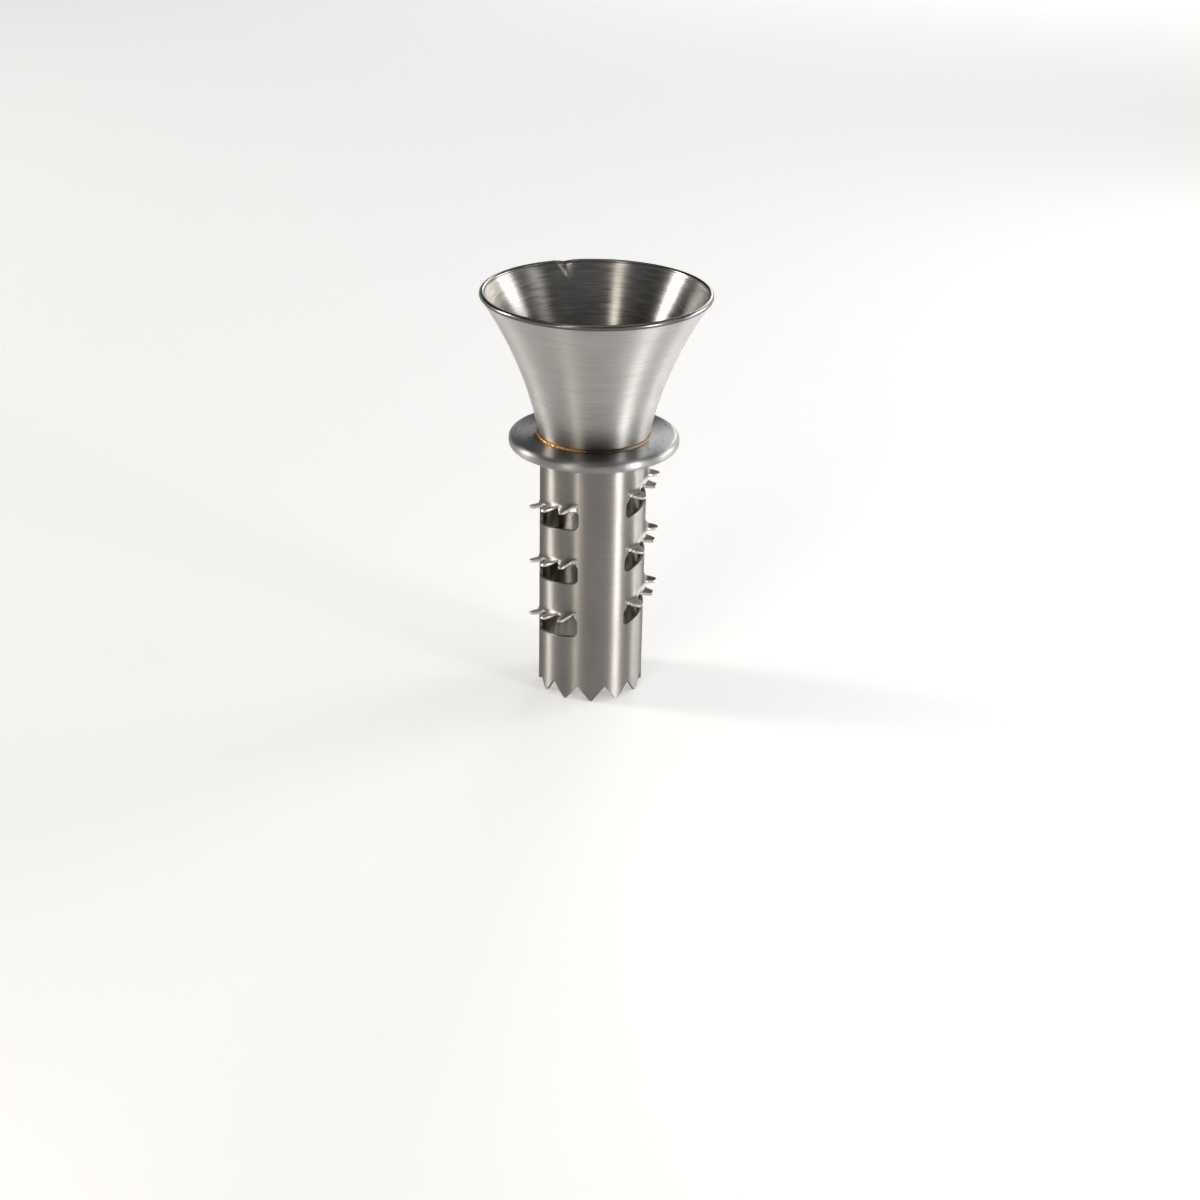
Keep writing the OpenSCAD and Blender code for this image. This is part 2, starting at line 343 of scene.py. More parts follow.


# one brushed steel from a dictionary of its finish
# accent and bore give masks of where it is finished otherwise; the accent on the teeth and the rim's crown is
# a painted highlight, and tint adds heat colours and painted shade beside the weld
def makeSteel(name, finish, accent=None, bore=None, tint=None):
    material, tree, shader = startMetal(name)
    brush = useGroup(tree, brushGroup, (2, 0), {
        "Lines Per Metre": finish["linesPerMetre"], "Line Length": finish["lineLength"],
        "Wander": finish["wander"], "Seed": finish["seed"],
    })
    film = useGroup(tree, filmGroup, (2, 3), {"Scale": finish["filmScale"], "Seed": finish["seed"]})
    edge = useGroup(tree, edgeGroup, (2, 5), {"Radius": finish["edgeRadius"], "Gain": finish["edgeGain"]})
    accented = accent(tree) if accent else None
    within = bore(tree) if bore else None
    unbrushed = calc(tree, "MAXIMUM", (6, 5), edge["Edge"], accented) if accented else edge["Edge"]

    colour = blendColour(tree, (5, 0), brush["Lines"], finish["darkLine"], finish["lightLine"])
    filmed = calc(tree, "MULTIPLY", (5, 2), film["Film"], finish["film"])
    colour = blendColour(tree, (6, 0), filmed, colour, finish["filmColour"])
    if accented:
        colour = blendColour(tree, (8, 0), accented, colour, finish["accentColour"])
    if within:
        colour = blendColour(tree, (8, 2), within, colour, finish["boreColour"])
    if tint:
        heat = useGroup(tree, heatGroup, (6, 8), tint)
        # painted shade beside the weld, darkest by the foot: on the funnel's flare it stands in for the dark
        # collar's reflection
        shadeAmount = calc(tree, "MULTIPLY", (7, 8), heat["Weld Shade"], finish["weldShade"])
        colour = blendColour(tree, (8, 1), shadeAmount, colour, finish["weldShadeColour"])
        colour = blendColour(tree, (9, 0), heat["Amount"], colour, heat["Tint"])
    plug(tree, colour, shader.inputs["Base Color"])

    rough = spread(tree, (5, 3), brush["Lines"], 0.0, 1.0, finish["roughLow"], finish["roughHigh"])
    rough = calc(tree, "MULTIPLY_ADD", (6, 3), film["Film"], finish["filmRough"], rough)
    rough = calc(tree, "MULTIPLY_ADD", (7, 3), film["Specks"], finish["speckRough"], rough)
    gap = calc(tree, "SUBTRACT", (8, 4), finish["accentRough"], rough)
    rough = calc(tree, "MULTIPLY_ADD", (9, 3), gap, unbrushed, rough)
    if within:
        gap = calc(tree, "SUBTRACT", (9, 4), finish["boreRough"], rough)
        rough = calc(tree, "MULTIPLY_ADD", (10, 3), gap, within, rough)
    plug(tree, rough, shader.inputs["Roughness"])

    brushed = calc(tree, "SUBTRACT", (7, 6), 1.0, unbrushed, clamp=True)
    bump = addNode(tree, "ShaderNodeBump", (12, 4))
    bump.inputs["Distance"].default_value = finish["bumpDepth"]
    bump.inputs["Strength"].default_value = finish["grain"]
    plug(tree, calc(tree, "MULTIPLY", (8, 5), brush["Height"], brushed), bump.inputs["Height"])
    plug(tree, edge["Normal"], bump.inputs["Normal"])
    plug(tree, bump.outputs[0], shader.inputs["Normal"])

    turn = addNode(tree, "ShaderNodeTangent", (12, 6), direction_type="RADIAL", axis="Z")
    plug(tree, turn.outputs[0], shader.inputs["Tangent"])
    shader.inputs["Anisotropic"].default_value = finish["anisotropic"]
    shader.inputs["Anisotropic Rotation"].default_value = 0.25  # highlights run across the lines
    shader.inputs["Specular Tint"].default_value = (*finish["edgeTint"], 1.0)  # at a grazing view
    return material


def dress(node, material):
    mesh = nodes[node].data
    if mesh.materials:
        for index in range(len(mesh.materials)):
            mesh.materials[index] = material
    else:
        mesh.materials.append(material)


def makePiece(name, verts, faces):
    mesh = bpy.data.meshes.new(name)
    mesh.from_pydata(verts, [], faces)
    mesh.update()
    piece = bpy.data.objects.new(name, mesh)
    scene.collection.objects.link(piece)
    return piece


# toothed tube, one bent sheet: windows climb in a helix, and the sheet over each window turns out into teeth
tubeShape = {  # millimetres and degrees
    "radius": 10.0, "wall": 0.6, "top": 2.2, "bottom": -49.0,
    "crownPoints": 12, "crownDepth": 3.0, "crownFlat": 0.5,
    "perTurn": 3, "turns": 3, "helixPitch": 11.0,
    "firstAngle": -35.0, "firstHead": 5.4, "headPitch": 13.5,  # a head is where the sheet starts to bend out
    "windowHeight": 5.4, "endDrop": 1.85, "endGap": 0.5, "corner": 0.9,
    "teeth": 3, "toothStep": 20.5, "toothReach": 2.5, "toothPower": 5.0,  # more power, squarer fingers
    "toothHalf": 0.8, "halfAt": 1.0,  # half a tooth's width, and how far outside the wall that is measured
    "bendRadius": 1.2, "bendAngle": 87.0, "gulletLength": 1.12, "endBlend": 2.4, "leastBend": 0.01,
    "noseAngles": (22.5, 45.0, 67.5, 80.0), "sharpAngle": 38.0,
    "flapSteps": 10, "windowSteps": 150, "pillarSteps": 50,
}
# fine brushing round the wall, satin teeth painted lighter as a painted highlight, and a darker, smoother
# bore
tubeFinish = {
    "linesPerMetre": 6500.0, "lineLength": 2.5, "wander": 0.1, "seed": 3.1,
    "darkLine": (0.268, 0.252, 0.236), "lightLine": (0.315, 0.298, 0.279),
    "roughLow": 0.4, "roughHigh": 0.48, "grain": 0.18, "bumpDepth": 0.04 * mm, "anisotropic": 0.95,
    "filmScale": 110.0, "film": 0.2, "filmColour": (0.282, 0.263, 0.244),
    "filmRough": 0.03, "speckRough": 0.03,
    "edgeRadius": 0.14 * mm, "edgeGain": 3.0, "edgeTint": (0.5, 0.5, 0.5),
    # the teeth's lighter accent colour is a painted highlight on them
    "accentColour": (0.56, 0.537, 0.502), "accentRough": 0.3,
    "toothStart": 0.1 * mm, "toothEnd": 0.7 * mm,  # from the wall's outside
    "boreColour": (0.3, 0.275, 0.24), "boreRough": 0.2,
    "boreStart": 0.05 * mm, "boreEnd": 0.15 * mm,  # from the wall's inside
}


# where the teeth are painted lighter: a painted highlight on the bent-out sheet
def toothHighlightMask(tree):
    place = polarPlace(tree, (0, 9))
    wall = tubeShape["radius"] * mm
    low, high = wall + tubeFinish["toothStart"], wall + tubeFinish["toothEnd"]
    return spread(tree, (7, 9), place["radius"], low, high)


def boreMask(tree):
    place = polarPlace(tree, (0, 11))
    wall = (tubeShape["radius"] - tubeShape["wall"]) * mm
    low, high = wall + tubeFinish["boreStart"], wall + tubeFinish["boreEnd"]
    return spread(tree, (7, 11), place["radius"], low, high, 1.0, 0.0)


def softStep(value):
    value = min(max(value, 0.0), 1.0)
    return value * value * (3 - 2 * value)


def mixValues(first, second, share):
    return first + (second - first) * share


# angles from the middle of a window to its last gullet and to its upright end
def windowLimits(shape):
    last = shape["teeth"] * shape["toothStep"] / 2
    return last, last + math.degrees(shape["endGap"] / shape["radius"])


# how far a window's round corner stands in, at an angle from the window's middle
def cornerRise(shape, away):
    gap = math.radians(windowLimits(shape)[1] - abs(away)) * shape["radius"]
    corner = shape["corner"]
    return corner - math.sqrt(max(0.0, corner * corner - max(0.0, corner - gap) ** 2))


# how far the sheet runs past the start of the bend, and how much of the bend it takes there
def flapAt(shape, away):
    last = windowLimits(shape)[0]
    step = shape["toothStep"]
    nearest = min(max(round((away + last) / step - 0.5), 0), shape["teeth"] - 1)
    across = math.radians(away + last - (nearest + 0.5) * step) * (shape["radius"] + shape["halfAt"])
    finger = 1.0 / (1.0 + (abs(across) / shape["toothHalf"]) ** shape["toothPower"])
    turn = math.radians(shape["bendAngle"])
    straight = shape["toothReach"] + shape["wall"] / 2 - shape["bendRadius"] * (1 - math.cos(turn))
    length = mixValues(shape["gulletLength"], shape["bendRadius"] * turn + straight, finger)
    # the sheet is flat again at the window's upright ends, from a third of the blend before the last gullet
    flat = softStep((abs(away) - last + shape["endBlend"] / 3) / shape["endBlend"])
    return mixValues(length, shape["endDrop"] + cornerRise(shape, away), flat), 1.0 - flat


# a point of the sheet's middle, a length past the start of the bend: radius, drop and which way it faces
def flapPoint(shape, length, bend):
    middle = shape["radius"] - shape["wall"] / 2
    if bend < shape["leastBend"]:
        return middle, -length, Vector((1.0, 0.0))
    bendRadius = shape["bendRadius"] / bend
    curved = min(length, shape["bendRadius"] * math.radians(shape["bendAngle"]))
    turn = curved / bendRadius
    out = middle + bendRadius * (1 - math.cos(turn)) + (length - curved) * math.sin(turn)
    drop = -bendRadius * math.sin(turn) - (length - curved) * math.cos(turn)
    return out, drop, Vector((math.cos(turn), math.sin(turn)))


# rows of one upright column, from the top down: radius, height, which way the sheet faces, half its thickness
def tubeRows(shape, column):
    half = shape["wall"] / 2
    middle = shape["radius"] - half
    length, bend = column["flap"], column["bend"]
    level = Vector((1.0, 0.0))
    rows = [(middle, shape["top"], level, half)]
    for head, sill in zip(column["heads"], column["sills"]):
        places = [((length - half) * i / shape["flapSteps"], 1.0) for i in range(shape["flapSteps"] + 1)]
        for angle in shape["noseAngles"]:  # the sheet's edge is rounded along the teeth
            nose = math.radians(angle)
            places.append((length - half + half * math.sin(nose), mixValues(1.0, math.cos(nose), bend)))
        for place, thin in places:
            out, drop, facing = flapPoint(shape, place, bend)
            rows.append((out, head + drop, facing, half * thin))
        rows.append((middle, sill, level, half))
    rows.append((middle, crownHeight(shape, column["angle"]), level, half))
    return rows


def crownHeight(shape, angle):
    pitch = 360.0 / shape["crownPoints"]
    across = abs(math.sin(math.radians(angle - round(angle / pitch) * pitch))) * shape["radius"]
    half = (2 * math.pi * shape["radius"] / shape["crownPoints"] - shape["crownFlat"]) / 2
    return shape["bottom"] + shape["crownDepth"] * max(0.0, 1.0 - across / half)


# heights of the heads and sills in one upright stack of windows, at an angle from its middle
def windowLevels(shape, stack, away):
    pitch, perTurn = shape["helixPitch"], shape["perTurn"]
    first = -shape["firstHead"] - (-stack % perTurn) * pitch / perTurn
    starts = [first - turn * pitch for turn in range(shape["turns"])]
    heads = [start + shape["headPitch"] * away / 360 for start in starts]
    sillRise = pitch * away / 360 + cornerRise(shape, away)
    sills = [start - shape["windowHeight"] + sillRise for start in starts]
    return heads, sills


# the sheet's upright columns round the tube, through the windows and the pillars between them
def tubeColumns(shape):
    limit = windowLimits(shape)[1]
    sector = 360.0 / shape["perTurn"]
    columns = []
    for stack in range(shape["perTurn"]):
        centre = shape["firstAngle"] + stack * sector
        for i in range(shape["windowSteps"] + 1):
            away = limit * (2 * i / shape["windowSteps"] - 1)
            heads, sills = windowLevels(shape, stack, away)
            flap, bend = flapAt(shape, away)
            columns.append({
                "angle": centre + away, "heads": heads, "sills": sills,
                "flap": flap, "bend": bend, "windowNext": i < shape["windowSteps"],
            })
        ends = windowLevels(shape, stack, limit), windowLevels(shape, stack + 1, -limit)
        for i in range(1, shape["pillarSteps"]):
            share = i / shape["pillarSteps"]
            heads, sills = ([mixValues(a, b, share) for a, b in zip(*pair)] for pair in zip(*ends))
            columns.append({
                "angle": centre + limit + (sector - 2 * limit) * share, "heads": heads, "sills": sills,
                "flap": shape["endDrop"] + shape["corner"], "bend": 0.0, "windowNext": False,
            })
    return columns


def makeTube(shape):
    columns = tubeColumns(shape)
    verts = []
    for column in columns:
        angle = math.radians(column["angle"])
        east, north = math.cos(angle), math.sin(angle)
        rows = tubeRows(shape, column)
        for out, height, facing, half in rows:
            for side in (half, -half):
                radius = out + facing.x * side
                verts.append((east * radius * mm, north * radius * mm, (height + facing.y * side) * mm))
    count = len(rows)
    perWindow = (count - 2) // shape["turns"]
    openRows = {perWindow * (turn + 1) - 1 for turn in range(shape["turns"])}  # just above the sills

    faces, edges = [], set()
    for a, column in enumerate(columns):
        b = (a + 1) % len(columns)
        for j in range(count - 1):
            if column["windowNext"] and j in openRows:
                continue
            here, there = 2 * (a * count + j), 2 * (b * count + j)
            outer = [here, here + 2, there + 2, there]
            faces.append(outer)
            faces.append([index + 1 for index in reversed(outer)])
            for start, end in zip(outer, outer[1:] + outer[:1]):
                if (end, start) in edges:
                    edges.remove((end, start))
                else:
                    edges.add((start, end))
    for start, end in sorted(edges):  # the cut edges of the sheet
        faces.append([end, start, start + 1, end + 1])
    piece = makePiece("toothedTube", verts, faces)
    for face in piece.data.polygons:
        face.use_smooth = True
    piece.data.set_sharp_from_angle(angle=math.radians(shape["sharpAngle"]))
    return piece


tube = makeTube(tubeShape)
tube.data.materials.append(makeSteel("tubeSteel", tubeFinish, accent=toothHighlightMask, bore=boreMask))
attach(tube, "root")
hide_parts("toothed_tube")
print("tube made:", len(tube.data.polygons), "faces")

# stop collar: a smooth flat top with a heat tint and a narrow band of painted shade beside the weld, and a
# duller rounded edge
collarFinish = {
    "linesPerMetre": 4200.0, "lineLength": 4.0, "wander": 0.2, "seed": 8.4,
    "darkLine": (0.212, 0.212, 0.212), "lightLine": (0.293, 0.292, 0.292),
    "roughLow": 0.27, "roughHigh": 0.32, "grain": 0.18, "bumpDepth": 0.04 * mm, "anisotropic": 0.8,
    "filmScale": 130.0, "film": 0.2, "filmColour": (0.204, 0.204, 0.202),
    "filmRough": 0.02, "speckRough": 0.0,
    "edgeRadius": 0.2 * mm, "edgeGain": 0.0, "edgeTint": (1.0, 1.0, 1.0),
    "accentColour": (0.28, 0.278, 0.274), "accentRough": 0.44,
    "edgeStart": 14.8 * mm, "edgeEnd": 15.3 * mm,  # from the axis
    # a narrow band of painted shade in the corner by the weld
    "weldShade": 0.75, "weldShadeColour": (0.1, 0.1, 0.1),
}
collarTint = {"Height": 2.2 * mm, "Radius": 10.4 * mm, "Reach": 1.6 * mm, "Weld Shade Reach": 0.6 * mm, "Seed": 2.0}


def collarEdge(tree):
    place = polarPlace(tree, (0, 9))
    low, high = collarFinish["edgeStart"], collarFinish["edgeEnd"]
    return spread(tree, (7, 9), place["radius"], low, high, smooth=True)


dress("stop_collar", makeSteel("collarSteel", collarFinish, accent=collarEdge, tint=collarTint))
print("collar dressed")

# weld: a rippled bead in the colours of its oxide, with dark pits
weldFinish = {
    "ripples": 62.0, "rippleShare": 0.35, "rippleDepth": 0.1 * mm, "strength": 0.6,
    "patchScale": 150.0, "patchDetail": 5.0, "patchLow": 0.3, "patchHigh": 0.7,
    "roughLow": 0.35, "roughHigh": 0.6,
    "pitScale": 2400.0, "pitDetail": 2.0, "pitLow": 0.58, "pitHigh": 0.7, "pitColour": (0.05, 0.03, 0.02),
}
weldTint = {"Height": 2.2 * mm, "Radius": 10.3 * mm, "Reach": 50.0 * mm, "Seed": 4.0}


def makeWeld(name, finish, tint):
    material, tree, shader = startMetal(name)
    place = polarPlace(tree, (0, 2))
    angle = calc(tree, "ARCTAN2", (7, 3), place["y"], place["x"])
    wave = calc(tree, "SINE", (9, 3), calc(tree, "MULTIPLY", (8, 3), angle, finish["ripples"]))
    patch = addNoise(tree, (7, 0), place["object"], Scale=finish["patchScale"], Detail=finish["patchDetail"])
    pits = addNoise(tree, (7, 6), place["object"], Scale=finish["pitScale"], Detail=finish["pitDetail"])
    pitted = spread(tree, (9, 6), pits, finish["pitLow"], finish["pitHigh"])
    heat = useGroup(tree, heatGroup, (7, 8), tint)
    colour = blendColour(tree, (10, 0), pitted, heat["Tint"], finish["pitColour"])
    plug(tree, colour, shader.inputs["Base Color"])
    low, high = finish["patchLow"], finish["patchHigh"]
    rough = spread(tree, (10, 3), patch, low, high, finish["roughLow"], finish["roughHigh"])
    plug(tree, rough, shader.inputs["Roughness"])
    bump = addNode(tree, "ShaderNodeBump", (11, 4))
    bump.inputs["Strength"].default_value = finish["strength"]
    bump.inputs["Distance"].default_value = finish["rippleDepth"]
    height = calc(tree, "MULTIPLY_ADD", (10, 5), wave, finish["rippleShare"], patch)
    plug(tree, calc(tree, "SUBTRACT", (10, 6), height, pitted), bump.inputs["Height"])
    plug(tree, bump.outputs[0], shader.inputs["Normal"])
    return material


dress("funnel_weld", makeWeld("weldBead", weldFinish, weldTint))
print("weld dressed")

# funnel: one trumpet of sheet with a rolled rim; the lip is pressed out of the wall and the rim together
funnelShape = {  # millimetres and degrees
    "footRadius": 9.85, "footHeight": 2.2, "rimRadius": 20.6, "rimHeight": 28.8, "bow": 1.4,
    "sheet": 0.8, "rimThick": 1.0, "lipWidth": 4.2, "lipLength": 3.6, "lipDepth": 0.8, "lipArc": 11.0,
    "lipSoft": 0.12, "lipFold": 0.06, "outerShare": 0.7, "innerShare": 0.6, "innerStart": 0.5,
    "wallSteps": 64, "rimSteps": 22, "turnSteps": 330, "lipSteps": 140,
}
funnelSides = {"inside": 0, "outside": 1, "rim": 2}  # places of the three materials
insideFinish = {
    "linesPerMetre": 3000.0, "lineLength": 4.0, "wander": 0.3, "seed": 1.7,
    "darkLine": (0.275, 0.263, 0.248), "lightLine": (0.58, 0.561, 0.535),
    "roughLow": 0.27, "roughHigh": 0.35, "grain": 0.15, "bumpDepth": 0.04 * mm, "anisotropic": 0.9,
    "filmScale": 70.0, "film": 0.2, "filmColour": (0.375, 0.357, 0.333),
    "filmRough": 0.03, "speckRough": 0.03,
    "edgeRadius": 0.05 * mm, "edgeGain": 0.0, "edgeTint": (1.0, 1.0, 1.0), "accentRough": 0.12,
}
outsideFinish = {
    "linesPerMetre": 4800.0, "lineLength": 2.4, "wander": 0.2, "seed": 5.3,
    "darkLine": (0.352, 0.342, 0.331), "lightLine": (0.468, 0.453, 0.436),
    "roughLow": 0.38, "roughHigh": 0.46, "grain": 0.3, "bumpDepth": 0.04 * mm, "anisotropic": 0.83,
    "filmScale": 80.0, "film": 0.2, "filmColour": (0.38, 0.364, 0.346),
    "filmRough": 0.03, "speckRough": 0.03,
    "edgeRadius": 0.05 * mm, "edgeGain": 0.0, "edgeTint": (1.0, 1.0, 1.0), "accentRough": 0.12,
    # the outside is painted darker towards the foot: painted shade for the dark collar's reflection
    "weldShade": 0.75, "weldShadeColour": (0.1, 0.097, 0.094),
}
# the rim is painted dark as painted shade on the sides of its roll, and its crown lighter as a painted
# highlight
rimShadeAndHighlight = {
    "linesPerMetre": 7000.0, "lineLength": 3.0, "wander": 0.1, "seed": 9.2,
    "darkLine": (0.09, 0.088, 0.086), "lightLine": (0.13, 0.127, 0.123),
    "roughLow": 0.2, "roughHigh": 0.28, "grain": 0.08, "bumpDepth": 0.03 * mm, "anisotropic": 0.3,
    "filmScale": 90.0, "film": 0.1, "filmColour": (0.15, 0.146, 0.142),
    "filmRough": 0.03, "speckRough": 0.03,
    "edgeRadius": 0.05 * mm, "edgeGain": 0.0, "edgeTint": (0.7, 0.7, 0.7),
    "accentColour": (0.27, 0.266, 0.258), "accentRough": 0.22,
    "crownLow": 28.78 * mm, "crownHigh": 29.08 * mm,  # heights
}
funnelTint = {"Height": 2.2 * mm, "Radius": 10.2 * mm, "Reach": 1.6 * mm, "Weld Shade Reach": 6.0 * mm, "Seed": 6.0}


# the crown of the rim is painted bright, a painted highlight, and its two sides, where the sheet turns, are
# painted dark as painted shade
def rimCrownHighlight(tree):
    place = polarPlace(tree, (0, 9))
    return spread(tree, (7, 9), place["z"], rimShadeAndHighlight["crownLow"], rimShadeAndHighlight["crownHigh"], smooth=True)


# the sheet's section from the inner foot over the rim to the outer foot
# each row: radius, height, the way out of the wall, distance below the rim and side
def funnelSection(shape):
    foot = Vector((shape["footRadius"], shape["footHeight"]))
    rim = Vector((shape["rimRadius"], shape["rimHeight"]))
    chord = rim - foot
    bow = shape["bow"]
    arcRadius = (chord.length_squared / 4 + bow * bow) / (2 * bow)
    square = Vector((chord.y, -chord.x)).normalized()
    centre = (foot + rim) / 2 + (arcRadius - bow) * square
    half, rimHalf = shape["sheet"] / 2, shape["rimThick"] / 2
    overlap = math.sqrt(rimHalf * rimHalf - half * half)  # how far the wall runs up into the round rim
    rimAngle = math.atan2(rim.y - centre.y, rim.x - centre.x)
    wallEnd = rimAngle + overlap / arcRadius
    rows = []

    def wallRow(radius, angle, side):
        inward = Vector((math.cos(angle), math.sin(angle)))
        spot = centre + radius * inward
        rows.append((spot.x, spot.y, -inward, (angle - rimAngle) * arcRadius, side))

    steps = shape["wallSteps"]
    innerFoot = math.pi - math.asin((foot.y - centre.y) / (arcRadius + half))
    outerFoot = math.pi - math.asin((foot.y - centre.y) / (arcRadius - half))
    for i in range(steps + 1):
        wallRow(arcRadius + half, innerFoot + (wallEnd - innerFoot) * i / steps, funnelSides["inside"])
    inward = Vector((math.cos(rimAngle), math.sin(rimAngle)))
    upward = Vector((inward.y, -inward.x))
    mouth = math.atan2(half, -overlap)
    for i in range(1, shape["rimSteps"]):
        angle = mouth - 2 * mouth * i / shape["rimSteps"]
        spot = rim + rimHalf * (math.cos(angle) * upward + math.sin(angle) * inward)
        rows.append((spot.x, spot.y, -inward, max(0.0, -rimHalf * math.cos(angle)), funnelSides["rim"]))
    for i in range(steps + 1):
        wallRow(arcRadius - half, wallEnd + (outerFoot - wallEnd) * i / steps, funnelSides["outside"])
    return rows


def softAbove(value, width):
    return (value + math.sqrt(value * value + width * width)) / 2


# how far the lip presses the sheet out: a wide, shallow V with a narrower, deeper one inside it
def lipPress(shape, aside, below):
    if abs(aside) >= shape["lipWidth"]:
        return 0.0
    soft, fold = shape["lipSoft"], shape["lipFold"]
    across = math.sqrt(aside * aside + soft ** 2) - soft
    level = 1.0 - below / shape["lipLength"] - across / (shape["lipWidth"] / 2)
    outer = shape["outerShare"] * softAbove(level, fold)
    inner = shape["innerShare"] * softAbove(level - shape["innerStart"], fold)
    return shape["lipDepth"] * (outer + inner)


def makeFunnel(shape):
    rows = funnelSection(shape)
    arc, fine, turns = math.radians(shape["lipArc"]), shape["lipSteps"], shape["turnSteps"]
    angles = [-arc + 2 * arc * i / fine for i in range(fine)]
    angles += [arc + (2 * math.pi - 2 * arc) * i / turns for i in range(turns)]
    verts, faces, sides = [], [], []
    for angle in angles:
        east, north = math.sin(angle), math.cos(angle)
        for radius, height, out, below, side in rows:
            press = lipPress(shape, east * shape["rimRadius"], below) if north > 0 else 0.0
            reach = radius + out.x * press
            verts.append((east * reach * mm, north * reach * mm, (height + out.y * press) * mm))
    count, ring = len(rows), len(angles)
    for a in range(ring):
        b = (a + 1) % ring
        for i in range(count):
            j = (i + 1) % count
            faces.append((a * count + i, b * count + i, b * count + j, a * count + j))
            pair = (rows[i][-1], rows[j][-1])
            sides.append(funnelSides["rim"] if funnelSides["rim"] in pair else pair[0])
    piece = makePiece("funnelShell", verts, faces)
    for face, side in zip(piece.data.polygons, sides):
        face.use_smooth = True
        face.material_index = side
    return piece


funnel = makeFunnel(funnelShape)
funnel.data.materials.append(makeSteel("funnelInside", insideFinish))
funnel.data.materials.append(makeSteel("funnelOutside", outsideFinish, tint=funnelTint))
funnel.data.materials.append(makeSteel("funnelRim", rimShadeAndHighlight, accent=rimCrownHighlight))
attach(funnel, "root")
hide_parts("funnel")
print("funnel made:", len(funnel.data.polygons), "faces")

# camera: the photograph's place and lens, in the part's frame; focal, centre and frame are in pixels
view = {
    "turn": -16.5, "distance": 337.9 * mm, "height": 129.9 * mm, "down": 25.637, "roll": 0.992,
    "focal": 1942.9, "centre": 591.16, "frame": 1200.0, "sensor": 36.0, "near": 0.01, "far": 50.0,
}


def makeCamera():
    data = bpy.data.cameras.new("photoCamera")
    camera = bpy.data.objects.new("photoCamera", data)
    scene.collection.objects.link(camera)
    turn = math.radians(view["turn"])
    spot = Vector((math.sin(turn) * view["distance"], -math.cos(turn) * view["distance"], view["height"]))
    heading = Matrix.Rotation(turn, 4, "Z")
    tilt = Matrix.Rotation(math.radians(90 - view["down"]), 4, "X")
    roll = Matrix.Rotation(math.radians(view["roll"]), 4, "Z")
    camera.matrix_world = Matrix.Translation(spot) @ heading @ tilt @ roll
    data.sensor_width = view["sensor"]
    data.lens = view["sensor"] * view["focal"] / view["frame"]
    data.shift_x = (view["frame"] / 2 - view["centre"]) / view["frame"]
    data.clip_start = view["near"]
    data.clip_end = view["far"]
    scene.camera = camera


makeCamera()
print("camera placed")

# studio: a dim room with soft boxes; angles in degrees, turn is counted from the camera to its right
roomColour = (0.045, 0.045, 0.047)
boxes = {
    "topBox": {
        "turn": 0.0, "low": 62.0, "high": 118.0, "wide": 56.0,
        "distance": 5.0, "level": 0.4, "colour": (1.0, 1.0, 1.0),
    },
    "keyStrip": {
        "turn": 54.0, "low": -9.0, "high": 6.0, "wide": 11.0,
        "distance": 0.27, "level": 40.0, "colour": (1.0, 0.99, 0.98),
    },
    "sideBox": {
        "turn": 88.0, "low": -2.0, "high": 28.0, "wide": 36.0,
        "distance": 1.5, "level": 0.35, "colour": (1.0, 0.99, 0.97),
    },
    "sideStrip": {
        "turn": 100.0, "low": -9.0, "high": 0.0, "wide": 8.0,
        "distance": 0.27, "level": 26.0, "colour": (1.0, 0.99, 0.97),
    },
    "lipBox": {
        "turn": 85.0, "low": 36.0, "high": 50.0, "wide": 14.0,
        "distance": 1.5, "level": 2.0, "colour": (1.0, 1.0, 1.0),
    },
    "backWall": {
        "turn": 117.5, "low": -5.5, "high": 28.0, "wide": 20.0,
        "distance": 0.5, "level": 6.2, "colour": (1.0, 1.0, 1.0),
    },
    "backGlow": {
        "turn": 143.0, "low": 2.0, "high": 30.0, "wide": 32.0,
        "distance": 1.5, "level": 1.15, "colour": (1.0, 0.93, 0.84),
    },
    "endGlow": {
        "turn": 166.5, "low": 10.0, "high": 30.0, "wide": 13.0,
        "distance": 1.5, "level": 6.0, "colour": (1.0, 1.0, 1.0),
    },
    "leftStrip": {
        "turn": -100.5, "low": 0.0, "high": 30.0, "wide": 11.0,
        "distance": 1.2, "level": 18.0, "colour": (1.0, 0.96, 0.9),
    },
    "lowStrip": {
        "turn": -32.0, "low": -9.0, "high": -2.0, "wide": 5.5,
        "distance": 0.27, "level": 36.0, "colour": (1.0, 0.93, 0.82),
    },
    "highStrip": {
        "turn": -27.5, "low": 14.0, "high": 52.0, "wide": 8.0,
        "distance": 1.2, "level": 3.8, "colour": (1.0, 0.92, 0.8),
    },
}


# width of a soft box that fills an angle at its distance
def boxWidth(distance, degrees):
    return 2 * distance * math.tan(math.radians(degrees) / 2)


def makeBox(name, box):
    data = bpy.data.lights.new(name, "AREA")
    data.shape = "RECTANGLE"
    data.size = boxWidth(box["distance"], box["wide"])
    data.size_y = boxWidth(box["distance"], box["high"] - box["low"])
    data.energy = box["level"] * math.pi * data.size * data.size_y
    data.color = box["colour"]
    lamp = bpy.data.objects.new(name, data)
    turn = math.radians(view["turn"] + box["turn"])
    rise = math.radians((box["low"] + box["high"]) / 2)
    flat = math.cos(rise)
    toLamp = Vector((math.sin(turn) * flat, -math.cos(turn) * flat, math.sin(rise)))
    lamp.location = toLamp * box["distance"]
    lamp.rotation_euler = (-toLamp).to_track_quat("-Z", "Y").to_euler()
    lamp.visible_camera = False
    scene.collection.objects.link(lamp)


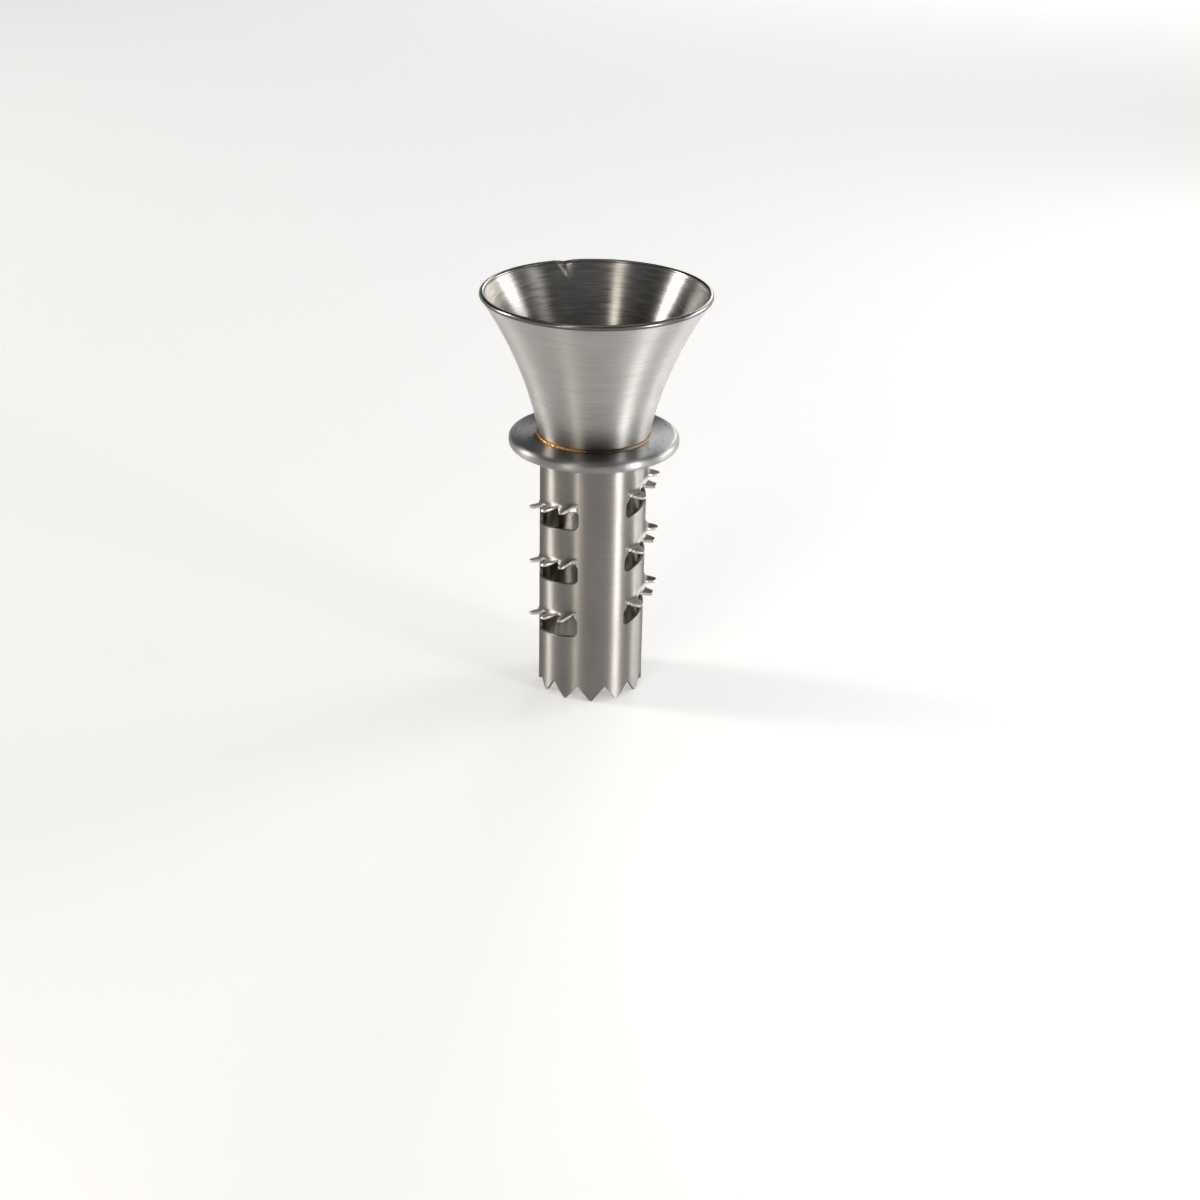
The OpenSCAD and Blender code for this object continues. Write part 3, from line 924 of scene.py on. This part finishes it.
world = bpy.data.worlds.new("studioRoom")
scene.world = world
world.use_nodes = True
world.node_tree.nodes["Background"].inputs[0].default_value = (*roomColour, 1.0)
for name, box in boxes.items():
    makeBox(name, box)
print("studio lit:", len(boxes), "soft boxes")

# pale round floor with a low wall, in metres
floorLook = {
    "radius": 3.0, "coveOut": 0.1, "coveUp": 0.05, "wallOut": 0.15, "wallUp": 0.9, "sides": 96,
    "colour": (0.9, 0.9, 0.9), "rough": 0.9, "specular": 0.1, "glow": 0.33,
}


def makeFloor(look):
    base, count = cadBox[0][2], look["sides"]
    rings = ((0.0, 0.0), (look["coveOut"], look["coveUp"]), (look["wallOut"], look["wallUp"]))
    verts, faces = [(0.0, 0.0, base)], []
    for out, up in rings:
        radius = look["radius"] + out
        for i in range(count):
            angle = 2 * math.pi * i / count
            verts.append((math.cos(angle) * radius, math.sin(angle) * radius, base + up))
    for i in range(count):
        j = (i + 1) % count
        faces.append((0, 1 + i, 1 + j))
        for low in (1, 1 + count):
            high = low + count
            faces.append((low + i, high + i, high + j, low + j))
    piece = makePiece("studioFloor", verts, faces)

    material = bpy.data.materials.new("paleFloor")
    material.use_nodes = True
    tree = material.node_tree
    shader = tree.nodes["Principled BSDF"]
    shader.inputs["Base Color"].default_value = (*look["colour"], 1.0)
    shader.inputs["Roughness"].default_value = look["rough"]
    shader.inputs["Specular IOR Level"].default_value = look["specular"]
    # the floor is lifted to white where it is seen or mirrored, and lights nothing by itself
    ray = addNode(tree, "ShaderNodeLightPath", (-4, 3))
    seen = calc(tree, "MAXIMUM", (-3, 3), ray.outputs["Is Camera Ray"], ray.outputs["Is Glossy Ray"])
    seen = calc(tree, "MAXIMUM", (-3, 4), seen, ray.outputs["Is Transmission Ray"])
    shader.inputs["Emission Color"].default_value = (1.0, 1.0, 1.0, 1.0)
    plug(tree, calc(tree, "MULTIPLY", (-2, 3), seen, look["glow"]), shader.inputs["Emission Strength"])
    piece.data.materials.append(material)
    return piece


floor = makeFloor(floorLook)
print("floor laid")

scene.view_settings.view_transform = "Standard"
